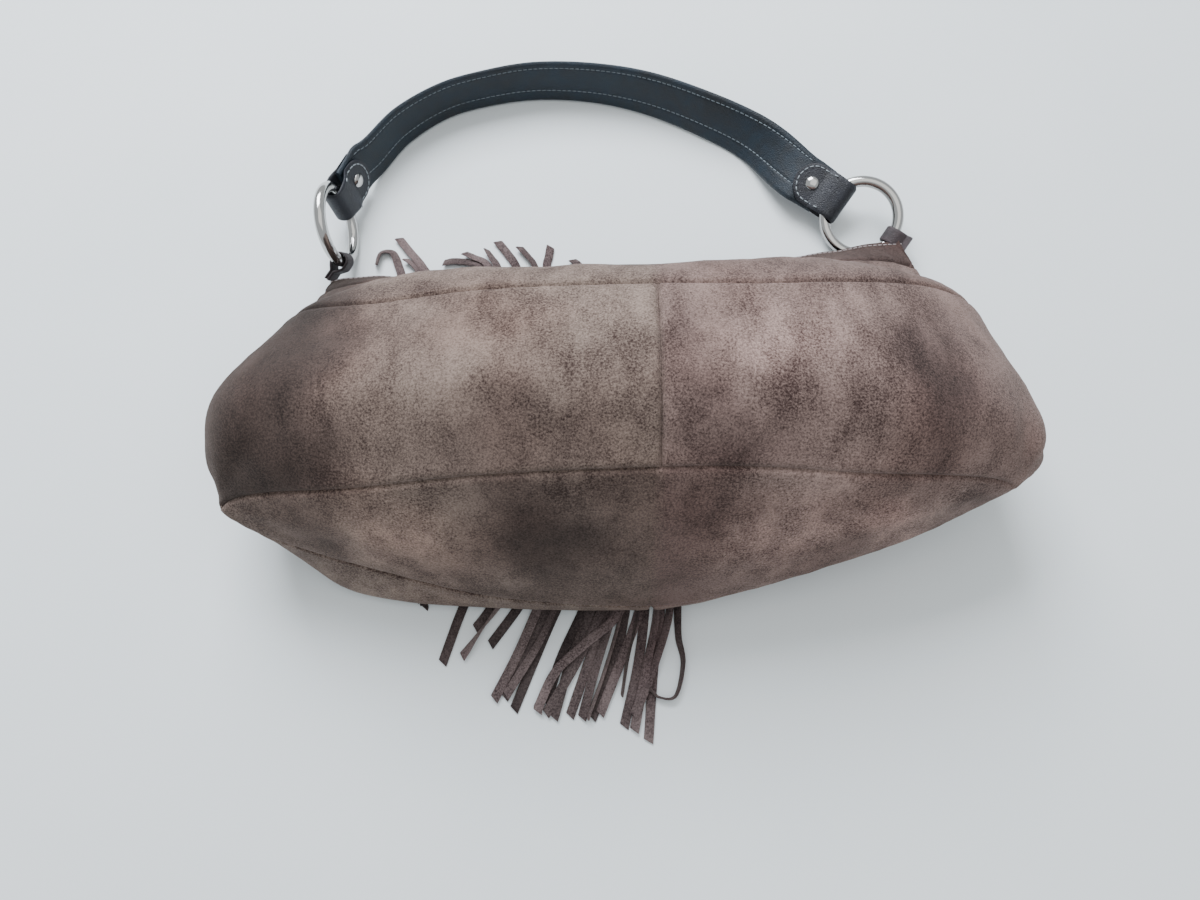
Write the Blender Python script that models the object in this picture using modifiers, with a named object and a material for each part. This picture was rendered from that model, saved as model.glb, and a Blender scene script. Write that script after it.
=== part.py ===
"""A fringed suede shoulder bag lying on its front face, its mouth on the far side and its strap laid out behind it.

Units are metres and +Z is up. The layout is written in millimetres from a point on the table under the bag,
and place() moves it so that the origin is at the middle of the whole object's base."""

import math

import bmesh
import bpy
import numpy as np
from mathutils import Matrix, Vector

MM = 0.001
ORIGIN = Vector((12.895, 39.91, 0.0))

SUEDE = 1.6
LINING = 0.8
LINING_GAP = 1.0
SEAM_GAP = 0.25
HEM_ROWS = 2
COLUMNS_PER_SPAN = 2
ROWS_PER_SPAN = 3
FLOOR_LIFT = 3.9
FRINGE_ZONE = 74.0

STRAP_WIDTH = 30.0
STRAP_THICK = 3.2
STRAP_TIP = [(10.0, 1.5), (25.0, 0.5)]
TAB_WIDTH = 25.0
TAB_THICK = 1.8
RING_RADIUS = 20.7
RING_WIRE = 3.2
RIVET_REACH = 13.8
RING_TAB_REACH = 6.4
RIVET_HOLE = 1.6
HINGE_LEFT = Vector((-148.59, 103.22, 18.18))
HINGE_RIGHT = Vector((171.86, 122.24, 13.04))

FRINGE_CENTRE = (11.0, 11.0)
FRINGE_WIDTH = 5.0
FRINGE_THICK = 1.0

# Rails of the back sheet, from the left side seam over the bag to the right side seam, base seam first.
BACK_RAILS = [
    [(-180, -48, 57), (-172, -45.5, 64), (-152, -45, 74), (-110, -47.5, 90), (-47, -45, 103), (26, -42.5, 106),
     (70, -42, 104.5), (115, -43, 98), (152, -40.5, 87), (180, -39, 76), (194, -40, 67)],
    [(-183, -24, 48), (-185, -25, 68), (-168, -23, 88), (-116, -22, 105), (-50, -20, 117), (26, -20, 120),
     (74, -20, 118.5), (122, -20, 112), (166, -20, 99), (200, -21, 80), (212, -23, 58)],
    [(-181, 5, 41), (-184, 4, 66), (-166, 4, 91), (-118, 3, 108), (-52, 2, 120), (26, 2, 122),
     (76, 2, 120.5), (126, 3, 113), (172, 4, 97), (203, 5, 74), (208, 6, 45)],
    [(-171, 46, 27), (-159, 46, 56), (-141, 48, 74), (-104, 43.5, 90), (-51, 44, 103), (26, 44.5, 108),
     (72, 45, 107), (118, 49, 101), (157, 54, 86), (186, 55, 62), (199, 48, 29)],
    [(-164, 66, 20), (-150, 64, 43), (-132, 63, 62), (-97, 65, 78), (-45, 64, 88), (26, 64, 90),
     (70, 67, 89), (108, 70, 84), (142, 72, 71), (171, 77, 44), (191, 74, 21)],
    [(-157, 83, 15), (-145, 80, 29), (-126, 78, 41), (-92, 77, 52), (-43, 75, 58), (26, 75, 60),
     (68, 78, 58), (106, 84, 51), (138, 91, 40), (163, 96, 27), (181, 96, 15)],
    [(-151, 97, 12), (-141, 97.5, 15), (-123, 97, 18), (-89, 94, 22), (-41, 92, 26), (26, 94, 27),
     (66, 99, 25), (104, 106, 20), (131, 112.5, 17), (153, 117, 15.5), (173, 116.5, 11)],
]

# Rails of the front sheet, from the same side seams under the bag, base seam first.
FRONT_RAILS = [
    [(-180, -48, 57), (-173, -53, 52), (-152, -61, 43), (-110, -72, 33.5), (-47, -85, 25), (26, -88.5, 22.5),
     (70, -81.5, 27), (115, -69.5, 34), (152, -58, 42.5), (180, -45.5, 54), (194, -40, 67)],
    [(-183, -24, 48), (-176, -38, 25), (-150, -62, 10), (-120, -79, 3), (-52, -84, 3), (26, -83, 3),
     (66, -76, 3), (110, -62, 6), (146, -48, 12), (184, -34, 30), (212, -23, 58)],
    [(-181, 5, 41), (-166, -14, 13), (-142, -28, 0.6), (-112, -40, 0), (-50, -42, 0), (26, -42, 0),
     (70, -38, 0), (112, -32, 0), (148, -24, 1), (184, -14, 17), (208, 6, 45)],
    [(-171, 46, 27), (-156, 36, 7), (-138, 30, 0), (-108, 24, 0), (-50, 22, 0), (26, 22, 0),
     (72, 24, 0), (114, 28, 0), (150, 34, 0.4), (180, 42, 10), (199, 48, 29)],
    [(-164, 66, 20), (-148, 60, 5), (-130, 58, 0), (-98, 56, 0), (-47, 55, 0), (26, 56, 0),
     (70, 58, 0), (108, 62, 0), (142, 66, 0.4), (170, 71, 7), (191, 74, 21)],
    [(-157, 83, 15), (-143, 80, 4), (-125, 79, 0), (-92, 78, 0), (-44, 76, 0), (26, 76, 0),
     (67, 79, 0), (105, 84, 0), (136, 88, 1), (161, 90, 6), (181, 96, 15)],
    [(-151, 97, 12), (-140, 96, 4), (-123, 96, 1), (-89, 94, 1), (-41, 92, 1), (26, 93, 1),
     (66, 97, 1), (104, 102, 1), (131, 105, 2), (153, 106, 5), (173, 116.5, 11)],
]
YOKE_RAIL = 3

# The strap's lower edge on the table, from the left ring to the right one, and how far it leans out there.
STRAP_ROUTE = [
    (-131, 176), (-117, 197), (-95, 215), (-71, 224), (-40, 229), (-5, 227), (28, 218), (61, 202), (86, 185), (101, 171),
]
STRAP_LEAN = [10, 6, 2, 2, 5, 8, 14, 20, 28, 38]

LEFT_RING = Vector((-148.0, 125.5, 24.4))
LEFT_RING_ALONG = Vector((-0.06, 0.97, 0.10))
LEFT_RING_ACROSS = Vector((-0.20, 0.0, 0.98))
LEFT_STRAP_PULL = Vector((0.36, 0.93, -0.03))
LEFT_STRAP_TURN = math.radians(11)
RIGHT_RING = Vector((151.0, 137.0, 13.0))
RIGHT_RING_NORMAL = Vector((-0.15, -0.38, 0.91))
RIGHT_STRAP_PULL = Vector((-0.81, 0.58, 0.10))
LEFT_ROOT = Vector((-151.0, 100.5, 12.5))
RIGHT_ROOT = Vector((173.6, 120.8, 11.8))


def clear_scene():
    for obj in list(bpy.data.objects):
        bpy.data.objects.remove(obj, do_unlink=True)


def new_collection(name):
    made = bpy.data.collections.new(name)
    bpy.context.scene.collection.children.link(made)
    return made


def material(name, colour, roughness, metallic=0.0):
    made = bpy.data.materials.new(name)
    made.use_nodes = True
    shader = made.node_tree.nodes["Principled BSDF"]
    shader.inputs["Base Color"].default_value = (*colour, 1.0)
    shader.inputs["Roughness"].default_value = roughness
    shader.inputs["Metallic"].default_value = metallic
    return made


def add_mesh(name, points, faces, finish, collection):
    """A mesh object from layout points in millimetres, its faces turned outwards."""
    mesh = bpy.data.meshes.new(name)
    mesh.from_pydata([tuple((Vector(p) - ORIGIN) * MM) for p in points], [], faces)
    bm = bmesh.new()
    bm.from_mesh(mesh)
    bmesh.ops.recalc_face_normals(bm, faces=bm.faces)
    bm.to_mesh(mesh)
    bm.free()
    obj = bpy.data.objects.new(name, mesh)
    obj.data.materials.append(finish)
    collection.objects.link(obj)
    return obj


def smooth(points, per_span):
    """A Catmull-Rom curve through the points, with per_span steps between neighbours."""
    pts = np.array(points, float)
    ends = np.vstack([2 * pts[0] - pts[1], pts, 2 * pts[-1] - pts[-2]])
    out = []
    for i in range(len(pts) - 1):
        a, b, c, d = ends[i : i + 4]
        for k in range(per_span):
            t = k / per_span
            out.append(
                0.5 * (2 * b + (c - a) * t + (2 * a - 5 * b + 4 * c - d) * t**2 + (3 * b - a - 3 * c + d) * t**3)
            )
    out.append(pts[-1])
    return np.array(out)


def unit(vectors):
    return vectors / np.maximum(np.linalg.norm(vectors, axis=-1, keepdims=True), 1e-9)


def sheet(rails):
    """A grid of points, rows from the base seam to the mouth and columns from left to right."""
    columns = np.array([smooth(rail, COLUMNS_PER_SPAN) for rail in rails])
    return np.swapaxes(np.array([smooth(columns[:, c], ROWS_PER_SPAN) for c in range(columns.shape[1])]), 0, 1)


def lift_over_fringe(grid):
    """Raises the underside where the fringe lies between the bag and the table."""
    away = np.abs(grid[..., 0] - FRINGE_CENTRE[0]) - FRINGE_ZONE
    raised = FLOOR_LIFT * np.clip(1.0 - away / 30.0, 0.0, 1.0)
    out = grid.copy()
    out[..., 2] = np.maximum(grid[..., 2], np.minimum(raised, FLOOR_LIFT))
    return out


def base_lens(back, front, rows=4):
    """The pointed base panel between the two base seams, swelling slightly outwards."""
    out = []
    for k in range(rows + 1):
        t = k / rows
        line = back[0] * (1 - t) + front[0] * t
        width = np.linalg.norm(back[0] - front[0], axis=1)[:, None]
        line = line + np.array([0.0, -0.85, 0.2]) * np.sin(math.pi * t) * width * 0.09
        out.append(line)
    return np.array(out)


def shell_offsets(grids):
    """Each grid's inward direction at each point, scaled so that the wall's thickness is even at the folds."""
    bm = bmesh.new()
    placed = {}

    def vert(p):
        key = tuple(np.round(p, 3))
        if key not in placed:
            placed[key] = bm.verts.new(p)
        return placed[key]

    for g in grids:
        flip = g is grids[0]
        for r in range(g.shape[0] - 1):
            for c in range(g.shape[1] - 1):
                ring = [g[r, c], g[r, c + 1], g[r + 1, c + 1], g[r + 1, c]]
                found = []
                for p in ring:
                    v = vert(p)
                    if v not in found:
                        found.append(v)
                if len(found) > 2:
                    bm.faces.new(found if flip else found[::-1])
    bm.normal_update()
    result = []
    for g in grids:
        way = np.zeros_like(g)
        for r in range(g.shape[0]):
            for c in range(g.shape[1]):
                v = placed[tuple(np.round(g[r, c], 3))]
                way[r, c] = -np.array(v.normal) * min(v.calc_shell_factor(), 1.8)
        result.append(way)
    bm.free()
    return result


def pull_in(points, edge, amount=SEAM_GAP):
    """Moves one edge of a grid a little towards the next row or column, to part two pieces at their seam."""
    out = points.copy()
    if edge in ("first_row", "last_row"):
        a, b = (0, 1) if edge == "first_row" else (-1, -2)
        out[a] = points[a] + unit(points[b] - points[a]) * amount
    else:
        a, b = (0, 1) if edge == "left" else (-1, -2)
        out[:, a] = points[:, a] + unit(points[:, b] - points[:, a]) * amount
    return out


def slab(outer, inner):
    """Points and faces of the closed solid between two grids."""
    rows, cols = outer.shape[:2]
    size = rows * cols
    points = [tuple(p) for p in outer.reshape(-1, 3)] + [tuple(p) for p in inner.reshape(-1, 3)]
    faces = []
    for r in range(rows - 1):
        for c in range(cols - 1):
            a = r * cols + c
            faces += [(a, a + 1, a + cols + 1), (a, a + cols + 1, a + cols)]
            faces += [(a + size, a + cols + 1 + size, a + 1 + size), (a + size, a + cols + size, a + cols + 1 + size)]
    rim = [c for c in range(cols)] + [r * cols + cols - 1 for r in range(1, rows)]
    rim += [(rows - 1) * cols + c for c in range(cols - 2, -1, -1)] + [r * cols for r in range(rows - 2, 0, -1)]
    for a, b in zip(rim, rim[1:] + rim[:1]):
        faces += [(b, a, a + size), (b, a + size, b + size)]
    return points, faces


def add_panel(name, grid, way, edges, finish, collection, depth=(0.0, SUEDE)):
    outer = grid + way * depth[0]
    inner = grid + way * depth[1]
    for edge in edges:
        outer = pull_in(outer, edge)
        inner = pull_in(inner, edge)
    points, faces = slab(outer, inner)
    return add_mesh(name, points, faces, finish, collection)


def add_shell(finish, collection):
    """The suede shell: back and front in two halves each, two yokes, two hems and the base."""
    back = sheet(BACK_RAILS)
    front = lift_over_fringe(sheet(FRONT_RAILS))
    for side in (0, -1):
        front[:, side] = back[:, side]
    base = base_lens(back, front)
    back_way, front_way, base_way = shell_offsets([back, front, base])
    seam = YOKE_RAIL * ROWS_PER_SPAN
    hem = back.shape[0] - 1 - HEM_ROWS
    middle = 5 * COLUMNS_PER_SPAN
    for side, grid, way in (("back", back, back_way), ("front", front, front_way)):
        for half, cols in (("left", slice(None, middle + 1)), ("right", slice(middle, None))):
            add_panel(f"{side}_panel_{half}", grid[: seam + 1, cols], way[: seam + 1, cols],
                      ["first_row", "last_row", "left", "right"], finish, collection)
        add_panel(f"{side}_yoke", grid[seam : hem + 1], way[seam : hem + 1],
                  ["first_row", "last_row", "left", "right"], finish, collection)
        add_panel(f"{side}_hem", grid[hem:], way[hem:], ["first_row", "left", "right"], finish, collection)
    ends = base.copy()
    for a, b in ((0, 1), (-1, -2)):
        ends[:, a] = base[:, a] * 0.6 + base[:, b] * 0.4
        base_way[:, a] = base_way[:, b]
    add_panel("base_panel", ends, base_way, ["first_row", "last_row"], finish, collection)
    return back, front, base, back_way, front_way, base_way


def add_lining(shell, finish, collection):
    """One sewn cloth bag inside the suede, with a narrow gusset at each side and an open mouth."""
    back, front, base, back_way, front_way, base_way = shell
    inside = slice(2, -2)
    strip = np.concatenate([back[::-1, inside], base[1:-1, inside], front[:, inside]])
    ways = np.concatenate([back_way[::-1, inside], base_way[1:-1, inside], front_way[:, inside]])
    outer = strip + ways * (SUEDE + LINING_GAP)
    inner = strip + ways * (SUEDE + LINING_GAP + LINING)
    rows, cols = outer.shape[:2]
    size = rows * cols
    points = [tuple(p) for p in outer.reshape(-1, 3)]
    inner[:, 0] += unit(inner[:, 1] - inner[:, 0]) * LINING
    inner[:, -1] += unit(inner[:, -2] - inner[:, -1]) * LINING
    points += [tuple(p) for p in inner.reshape(-1, 3)]
    faces = []
    for r in range(rows - 1):
        for c in range(cols - 1):
            a = r * cols + c
            faces += [(a, a + 1, a + cols + 1), (a, a + cols + 1, a + cols)]
            faces += [(a + size, a + cols + 1 + size, a + 1 + size), (a + size, a + cols + size, a + cols + 1 + size)]
    half = rows // 2
    for c in (0, cols - 1):
        for layer in (0, size):
            for r in range(half):
                a, b = r * cols + c + layer, (r + 1) * cols + c + layer
                d, e = (rows - 1 - r) * cols + c + layer, (rows - 2 - r) * cols + c + layer
                faces += [(a, b, e), (a, e, d)] if b != e else [(a, b, d)]
    for r in (0, rows - 1):
        for c in range(cols - 1):
            a = r * cols + c
            faces += [(a, a + 1, a + 1 + size), (a, a + 1 + size, a + size)]
    for c in (0, cols - 1):
        a, d = c, (rows - 1) * cols + c
        faces += [(a, d, d + size), (a, d + size, a + size)]
    return add_mesh("lining", points, faces, finish, collection)


def loft(name, sections, finish, collection):
    """A closed solid through sections of equal length, flat at both ends."""
    count = len(sections[0])
    points = [tuple(p) for section in sections for p in section]
    faces = [tuple(range(count)), tuple(len(points) - count + k for k in range(count))[::-1]]
    for s in range(len(sections) - 1):
        for k in range(count):
            a, b = s * count + k, s * count + (k + 1) % count
            faces += [(a, b, b + count), (a, b + count, a + count)]
    return add_mesh(name, points, faces, finish, collection)


def rectangle(centre, across, through, half_width, half_thick):
    return [centre + across * (half_width * i) + through * (half_thick * j)
            for i, j in ((-1, -1), (1, -1), (1, 1), (-1, 1))]


def folded_leather(name, frame, legs, widths, gaps, sag, round_end, finish, collection):
    """A leather strip folded round a ring's wire, which lies at the frame's origin along its second axis."""
    origin, along, across, through = frame
    upper, lower = legs
    tall = gaps[0] + TAB_THICK / 2
    low = gaps[1] + TAB_THICK / 2
    pinch = 9.0 if round_end else 5.6
    path = [(upper - round_end * (1 - math.cos(a)), low) for a in np.linspace(0, math.pi / 2, 5)]
    path = path if round_end else path[:1]
    path += [(pinch, low), (4.0, tall), (0.0, tall)]
    path += [(-sag - tall * math.sin(a), tall * math.cos(a)) for a in np.linspace(0, math.pi, 9)]
    path += [(0.0, -tall), (4.0, -tall), (pinch, -low), (lower, -low)]
    sections = []
    for k, (x, z) in enumerate(path):
        before, after = path[max(k - 1, 0)], path[min(k + 1, len(path) - 1)]
        run = Vector((after[0] - before[0], after[1] - before[1])).normalized()
        normal = along * -run.y + through * run.x
        half = widths[0] + (widths[1] - widths[0]) * min(max((x + sag) / 12.0, 0.0), 1.0)
        if round_end and k < 5:
            half *= max(math.sin(math.acos(max(0.0, 1 - (upper - x) / round_end))), 0.28)
        sections.append(rectangle(origin + along * x + through * z, across, normal, half, TAB_THICK / 2))
    return loft(name, sections, finish, collection)


def frame_from(origin, along, across):
    """An origin and three unit axes: the second kept, the first squared up to it."""
    across = across.normalized()
    along = (along - across * along.dot(across)).normalized()
    return origin, along, across, along.cross(across)


def ring_axes():
    left_across = LEFT_RING_ACROSS.normalized()
    left_along = (LEFT_RING_ALONG - left_across * LEFT_RING_ALONG.dot(left_across)).normalized()
    return left_along, left_across, RIGHT_RING_NORMAL.normalized()


def strap_frames():
    """The folded strap ends' frames at the left and right rings."""
    left_along, left_across, right_normal = ring_axes()
    turn = math.cos(LEFT_STRAP_TURN), math.sin(LEFT_STRAP_TURN)
    contact = LEFT_RING + (left_along * turn[0] - left_across * turn[1]) * RING_RADIUS
    left = frame_from(contact, LEFT_STRAP_PULL, left_across * turn[0] + left_along * turn[1])
    pull = (RIGHT_STRAP_PULL - right_normal * RIGHT_STRAP_PULL.dot(right_normal)).normalized()
    right = frame_from(RIGHT_RING + pull * RING_RADIUS, pull, right_normal.cross(pull))
    return left, right


def add_strap(finish, collection):
    """The strap stands on its lower edge, leaning outwards, and enters each folded end between its leaves."""
    left, right = strap_frames()
    route = smooth(STRAP_ROUTE, 3)
    lean = np.interp(np.linspace(0, 1, len(route)), np.linspace(0, 1, len(STRAP_LEAN)), STRAP_LEAN)
    sections = []
    for x, narrower in STRAP_TIP:
        sections.append(rectangle(left[0] + left[1] * x, left[2], left[3],
                                  STRAP_WIDTH / 2 - narrower, STRAP_THICK / 2))
    for k in range(len(route)):
        before, after = route[max(k - 1, 0)], route[min(k + 1, len(route) - 1)]
        run = Vector((after[0] - before[0], after[1] - before[1], 0)).normalized()
        out = Vector((-run.y, run.x, 0))
        angle = math.radians(lean[k])
        up = Vector((0, 0, math.cos(angle))) + out * math.sin(angle)
        foot = STRAP_THICK / 2 * math.sin(angle) + 0.2
        centre = Vector((route[k][0], route[k][1], foot)) + up * STRAP_WIDTH / 2
        sections.append(rectangle(centre, up, run.cross(up), STRAP_WIDTH / 2, STRAP_THICK / 2))
    across = -right[2] if right[2].z < 0 else right[2]
    for x, narrower in reversed(STRAP_TIP):
        sections.append(rectangle(right[0] + right[1] * x, across, (-right[1]).cross(across),
                                  STRAP_WIDTH / 2 - narrower, STRAP_THICK / 2))
    return loft("strap", sections, finish, collection)


def add_ring(name, centre, normal, finish, collection):
    bpy.ops.mesh.primitive_torus_add(major_segments=32, minor_segments=10,
                                     major_radius=RING_RADIUS * MM, minor_radius=RING_WIRE * MM)
    ring = bpy.context.active_object
    ring.name = name
    ring.data.name = name
    for used in list(ring.users_collection):
        used.objects.unlink(ring)
    collection.objects.link(ring)
    ring.data.materials.append(finish)
    ring.rotation_mode = "QUATERNION"
    ring.rotation_quaternion = Vector((0, 0, 1)).rotation_difference(normal)
    ring.location = (centre - ORIGIN) * MM
    ring.data.shade_smooth()
    return ring


def turned(name, profile, frame, finish, collection):
    """A solid turned about the frame's third axis, from (radius, height) pairs that run down its outer side."""
    origin, along, across, through = frame
    mesh = bpy.data.meshes.new(name)
    mesh.from_pydata([(r * MM, 0, z * MM) for r, z in profile], [(k, k + 1) for k in range(len(profile) - 1)], [])
    obj = bpy.data.objects.new(name, mesh)
    collection.objects.link(obj)
    obj.data.materials.append(finish)
    screw = obj.modifiers.new("turn", "SCREW")
    screw.steps = 16
    screw.render_steps = 16
    screw.use_merge_vertices = True
    screw.merge_threshold = 0.00001
    axes = Matrix((along, across, through)).transposed().to_4x4()
    obj.matrix_world = Matrix.Translation((origin - ORIGIN) * MM) @ axes
    return obj


def add_rivet(name, frame, finish, collection):
    """A domed rivet through both leaves of a folded end and the strap between them."""
    top = STRAP_THICK / 2 + 0.3 + TAB_THICK + 0.2
    profile = [(0, top + 1.5), (1.6, top + 1.35), (3.0, top + 0.9), (3.9, top + 0.15), (3.9, top), (1.3, top),
               (1.3, -top), (3.4, -top), (3.4, -top - 0.5), (2.4, -top - 0.8), (0, -top - 0.9)]
    origin, along, across, through = frame
    return turned(name, profile, (origin + along * RIVET_REACH, along, across, through), finish, collection)


def bore(target, frame, cutters):
    """Drills the rivet's hole through one leather piece."""
    origin, along, across, through = frame
    bpy.ops.mesh.primitive_cylinder_add(vertices=12, radius=RIVET_HOLE * MM, depth=20 * MM)
    cutter = bpy.context.active_object
    for used in list(cutter.users_collection):
        used.objects.unlink(cutter)
    cutters.objects.link(cutter)
    cutter.name = f"{target.name}_rivet_hole"
    axes = Matrix((along, across, through)).transposed().to_4x4()
    cutter.matrix_world = Matrix.Translation((origin + along * RIVET_REACH - ORIGIN) * MM) @ axes
    cutter.hide_render = True
    cutter.display_type = "WIRE"
    cut = target.modifiers.new("rivet_hole", "BOOLEAN")
    cut.operation = "DIFFERENCE"
    cut.solver = "EXACT"
    cut.object = cutter


def add_pivot(name, first, second, collection):
    """An empty on the line the handle swings about, its X axis along that line."""
    pivot = bpy.data.objects.new(name, None)
    pivot.rotation_mode = "QUATERNION"
    pivot.rotation_quaternion = Vector((1, 0, 0)).rotation_difference(second - first)
    pivot.location = ((first + second) / 2 - ORIGIN) * MM
    collection.objects.link(pivot)
    return pivot


def hang_on(pivot, pieces):
    """Parents the pieces to the pivot where they are."""
    bpy.context.view_layer.update()
    for piece in pieces:
        piece.parent = pivot
        piece.matrix_parent_inverse = pivot.matrix_world.inverted()


def add_handle(leather, metal, collection, cutters):
    """Strap, folded ends with their rivets, rings, and the loops that tie the rings to the mouth's corners."""
    left, right = strap_frames()
    left_along, left_across, right_normal = ring_axes()
    left_normal = left_along.cross(left_across)
    pivot = add_pivot("handle_pivot", HINGE_LEFT, HINGE_RIGHT, collection)
    strap = add_strap(leather, collection)
    swinging = [strap]
    gap = STRAP_THICK / 2 + 0.3
    for side, frame in (("left", left), ("right", right)):
        if frame[3].z < 0:
            frame = (frame[0], frame[1], -frame[2], -frame[3])
        end = folded_leather(f"strap_end_{side}", frame, (24.5, 21.0), (10.0, TAB_WIDTH / 2), (4.6, gap), 3.0,
                             11.5, leather, collection)
        bore(end, frame, cutters)
        bore(strap, frame, cutters)
        swinging += [end, add_rivet(f"rivet_{side}", frame, metal, collection)]
    swinging.append(add_ring("ring_left", LEFT_RING, left_normal, metal, collection))
    swinging.append(add_ring("ring_right", RIGHT_RING, right_normal, metal, collection))
    for side, centre, normal, root in (("left", LEFT_RING, left_normal, LEFT_ROOT),
                                       ("right", RIGHT_RING, right_normal, RIGHT_ROOT)):
        radial = root - centre
        radial = (radial - normal * radial.dot(normal)).normalized()
        contact = centre + radial * RING_RADIUS
        frame = frame_from(contact, root - contact, normal.cross(radial))
        legs = (RING_TAB_REACH, RING_TAB_REACH)
        swinging.append(folded_leather(f"ring_tab_{side}", frame, legs, (4.5, 4.5), (4.0, 0.2), 0.8, 0.0,
                                       leather, collection))
    hang_on(pivot, swinging)


def fringe_comb(name, angles, lengths, root, bottom, finish, collection):
    """One cut piece of suede: a sector-shaped root sewn to the bag, and tongues that fan out on the table."""
    outline = []
    half = FRINGE_WIDTH / 2
    for angle, length in zip(angles, lengths):
        a = math.radians(angle)
        away = np.array([math.cos(a), math.sin(a)])
        side = np.array([-away[1], away[0]])
        start = math.sqrt(root**2 - half**2)
        outline += [away * start - side * half, away * (length - 4.0) - side * half,
                    away * length + side * half, away * start + side * half]
    first, last = math.radians(angles[0]), math.radians(angles[-1])
    outline += [np.array([math.cos(last), math.sin(last)]) * 9.0, np.array([math.cos(first), math.sin(first)]) * 9.0]
    centre = np.array(FRINGE_CENTRE)
    curve = bpy.data.curves.new(name, "CURVE")
    curve.dimensions = "2D"
    curve.fill_mode = "BOTH"
    curve.extrude = FRINGE_THICK / 2 * MM
    spline = curve.splines.new("POLY")
    spline.points.add(len(outline) - 1)
    for point, xy in zip(spline.points, outline):
        x, y = (centre + xy - np.array(ORIGIN[:2])) * MM
        point.co = (x, y, 0, 1)
    spline.use_cyclic_u = True
    guide = bpy.data.objects.new(name + "_outline", curve)
    collection.objects.link(guide)
    mesh = bpy.data.meshes.new_from_object(guide.evaluated_get(bpy.context.evaluated_depsgraph_get()))
    bpy.data.objects.remove(guide, do_unlink=True)
    bm = bmesh.new()
    bm.from_mesh(mesh)
    bmesh.ops.remove_doubles(bm, verts=bm.verts, dist=0.00001)
    bmesh.ops.recalc_face_normals(bm, faces=bm.faces)
    bm.to_mesh(mesh)
    bm.free()
    mesh.name = name
    obj = bpy.data.objects.new(name, mesh)
    obj.data.materials.clear()
    obj.data.materials.append(finish)
    obj.location = (0, 0, (bottom + FRINGE_THICK / 2) * MM)
    collection.objects.link(obj)
    return obj


def add_fringe(finish, collection):
    """Two layers of tongues towards the base and one towards the mouth."""
    fringe_comb("fringe_base_side", [-117 + 6.6 * k for k in range(8)], [150, 140, 160, 152, 165, 158, 165, 152],
                48.0, 0.2, finish, collection)
    fringe_comb("fringe_base_side_upper", [-114 + 6.6 * k for k in range(7)], [146, 158, 150, 163, 152, 148, 160],
                48.0, 1.5, finish, collection)
    fringe_comb("fringe_mouth_side", [95 + 7.0 * k for k in range(7)], [118, 126, 118, 124, 124, 132, 158],
                48.0, 0.2, finish, collection)


def add_snap(shell, metal, collection):
    """A two-part magnetic snap on the lining's inner faces, at the middle of the mouth."""
    back, front, base, back_way, front_way, base_way = shell
    col = 5 * COLUMNS_PER_SPAN
    row = back.shape[0] - 3
    depth = SUEDE + LINING_GAP + LINING + 0.8
    for name, grid, ways, profile in (
        ("snap_socket", back, back_way, [(0, 2.2), (7.0, 2.2), (8.0, 1.4), (8.0, 0), (0, 0)]),
        ("snap_stud", front, front_way, [(0, 3.2), (2.6, 3.2), (2.6, 1.4), (8.0, 1.4), (8.0, 0), (0, 0)]),
    ):
        inward = Vector(ways[row, col]).normalized()
        origin = Vector(grid[row, col]) + inward * depth
        turned(name, profile, frame_from(origin, inward.cross(Vector((1, 0, 0))), Vector((1, 0, 0)))[:3] + (inward,),
               metal, collection)


def main():
    clear_scene()
    parts = new_collection("fringed suede bag")
    cutters = new_collection("cutters")
    suede = material("suede", (0.115, 0.083, 0.072), 0.95)
    cloth = material("lining cloth", (0.03, 0.025, 0.024), 0.8)
    leather = material("strap leather", (0.012, 0.018, 0.026), 0.45)
    metal = material("polished metal", (0.72, 0.72, 0.72), 0.12, 1.0)
    shell = add_shell(suede, parts)
    add_lining(shell, cloth, parts)
    add_snap(shell, metal, parts)
    add_handle(leather, metal, parts, cutters)
    add_fringe(suede, parts)


main()
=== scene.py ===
"""The looks of a fringed suede shoulder bag, lying on its front with its strap laid out behind it."""

import math

import bmesh
import bpy
import numpy as np
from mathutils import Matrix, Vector, noise


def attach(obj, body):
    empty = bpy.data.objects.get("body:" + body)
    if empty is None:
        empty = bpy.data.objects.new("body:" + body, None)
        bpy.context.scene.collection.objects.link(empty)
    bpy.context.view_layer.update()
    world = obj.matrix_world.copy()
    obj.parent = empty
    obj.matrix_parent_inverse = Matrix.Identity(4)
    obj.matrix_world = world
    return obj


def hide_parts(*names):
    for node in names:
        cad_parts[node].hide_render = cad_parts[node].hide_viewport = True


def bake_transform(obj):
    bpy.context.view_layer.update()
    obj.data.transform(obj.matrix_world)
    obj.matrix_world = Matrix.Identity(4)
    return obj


NAP_SEED = 7
noise.seed_set(NAP_SEED)

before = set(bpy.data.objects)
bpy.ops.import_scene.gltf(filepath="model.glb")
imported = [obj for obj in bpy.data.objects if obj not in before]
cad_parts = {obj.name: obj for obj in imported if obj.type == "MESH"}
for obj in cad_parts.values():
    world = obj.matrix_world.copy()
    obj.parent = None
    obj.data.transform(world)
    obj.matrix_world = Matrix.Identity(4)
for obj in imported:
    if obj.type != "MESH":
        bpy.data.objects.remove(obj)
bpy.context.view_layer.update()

# ---------------------------------------------------------------------------------------------------------
# The view and the light. The bag is seen from above its base side, under soft daylight that comes from
# beyond the strap, on a plain pale table.
MM = 0.001
LAYOUT_ORIGIN = Vector((12.895, 39.91, 0.0))


def at(x, y, z):
    """A layout point in millimetres as a point of the frame in metres."""
    return (Vector((x, y, z)) - LAYOUT_ORIGIN) * MM


def linear(hex_colour):
    """An sRGB hex colour as linear red, green, blue and alpha."""
    parts = [int(hex_colour[k : k + 2], 16) / 255 for k in (1, 3, 5)]
    return tuple(c / 12.92 if c <= 0.04045 else ((c + 0.055) / 1.055) ** 2.4 for c in parts) + (1.0,)


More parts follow.
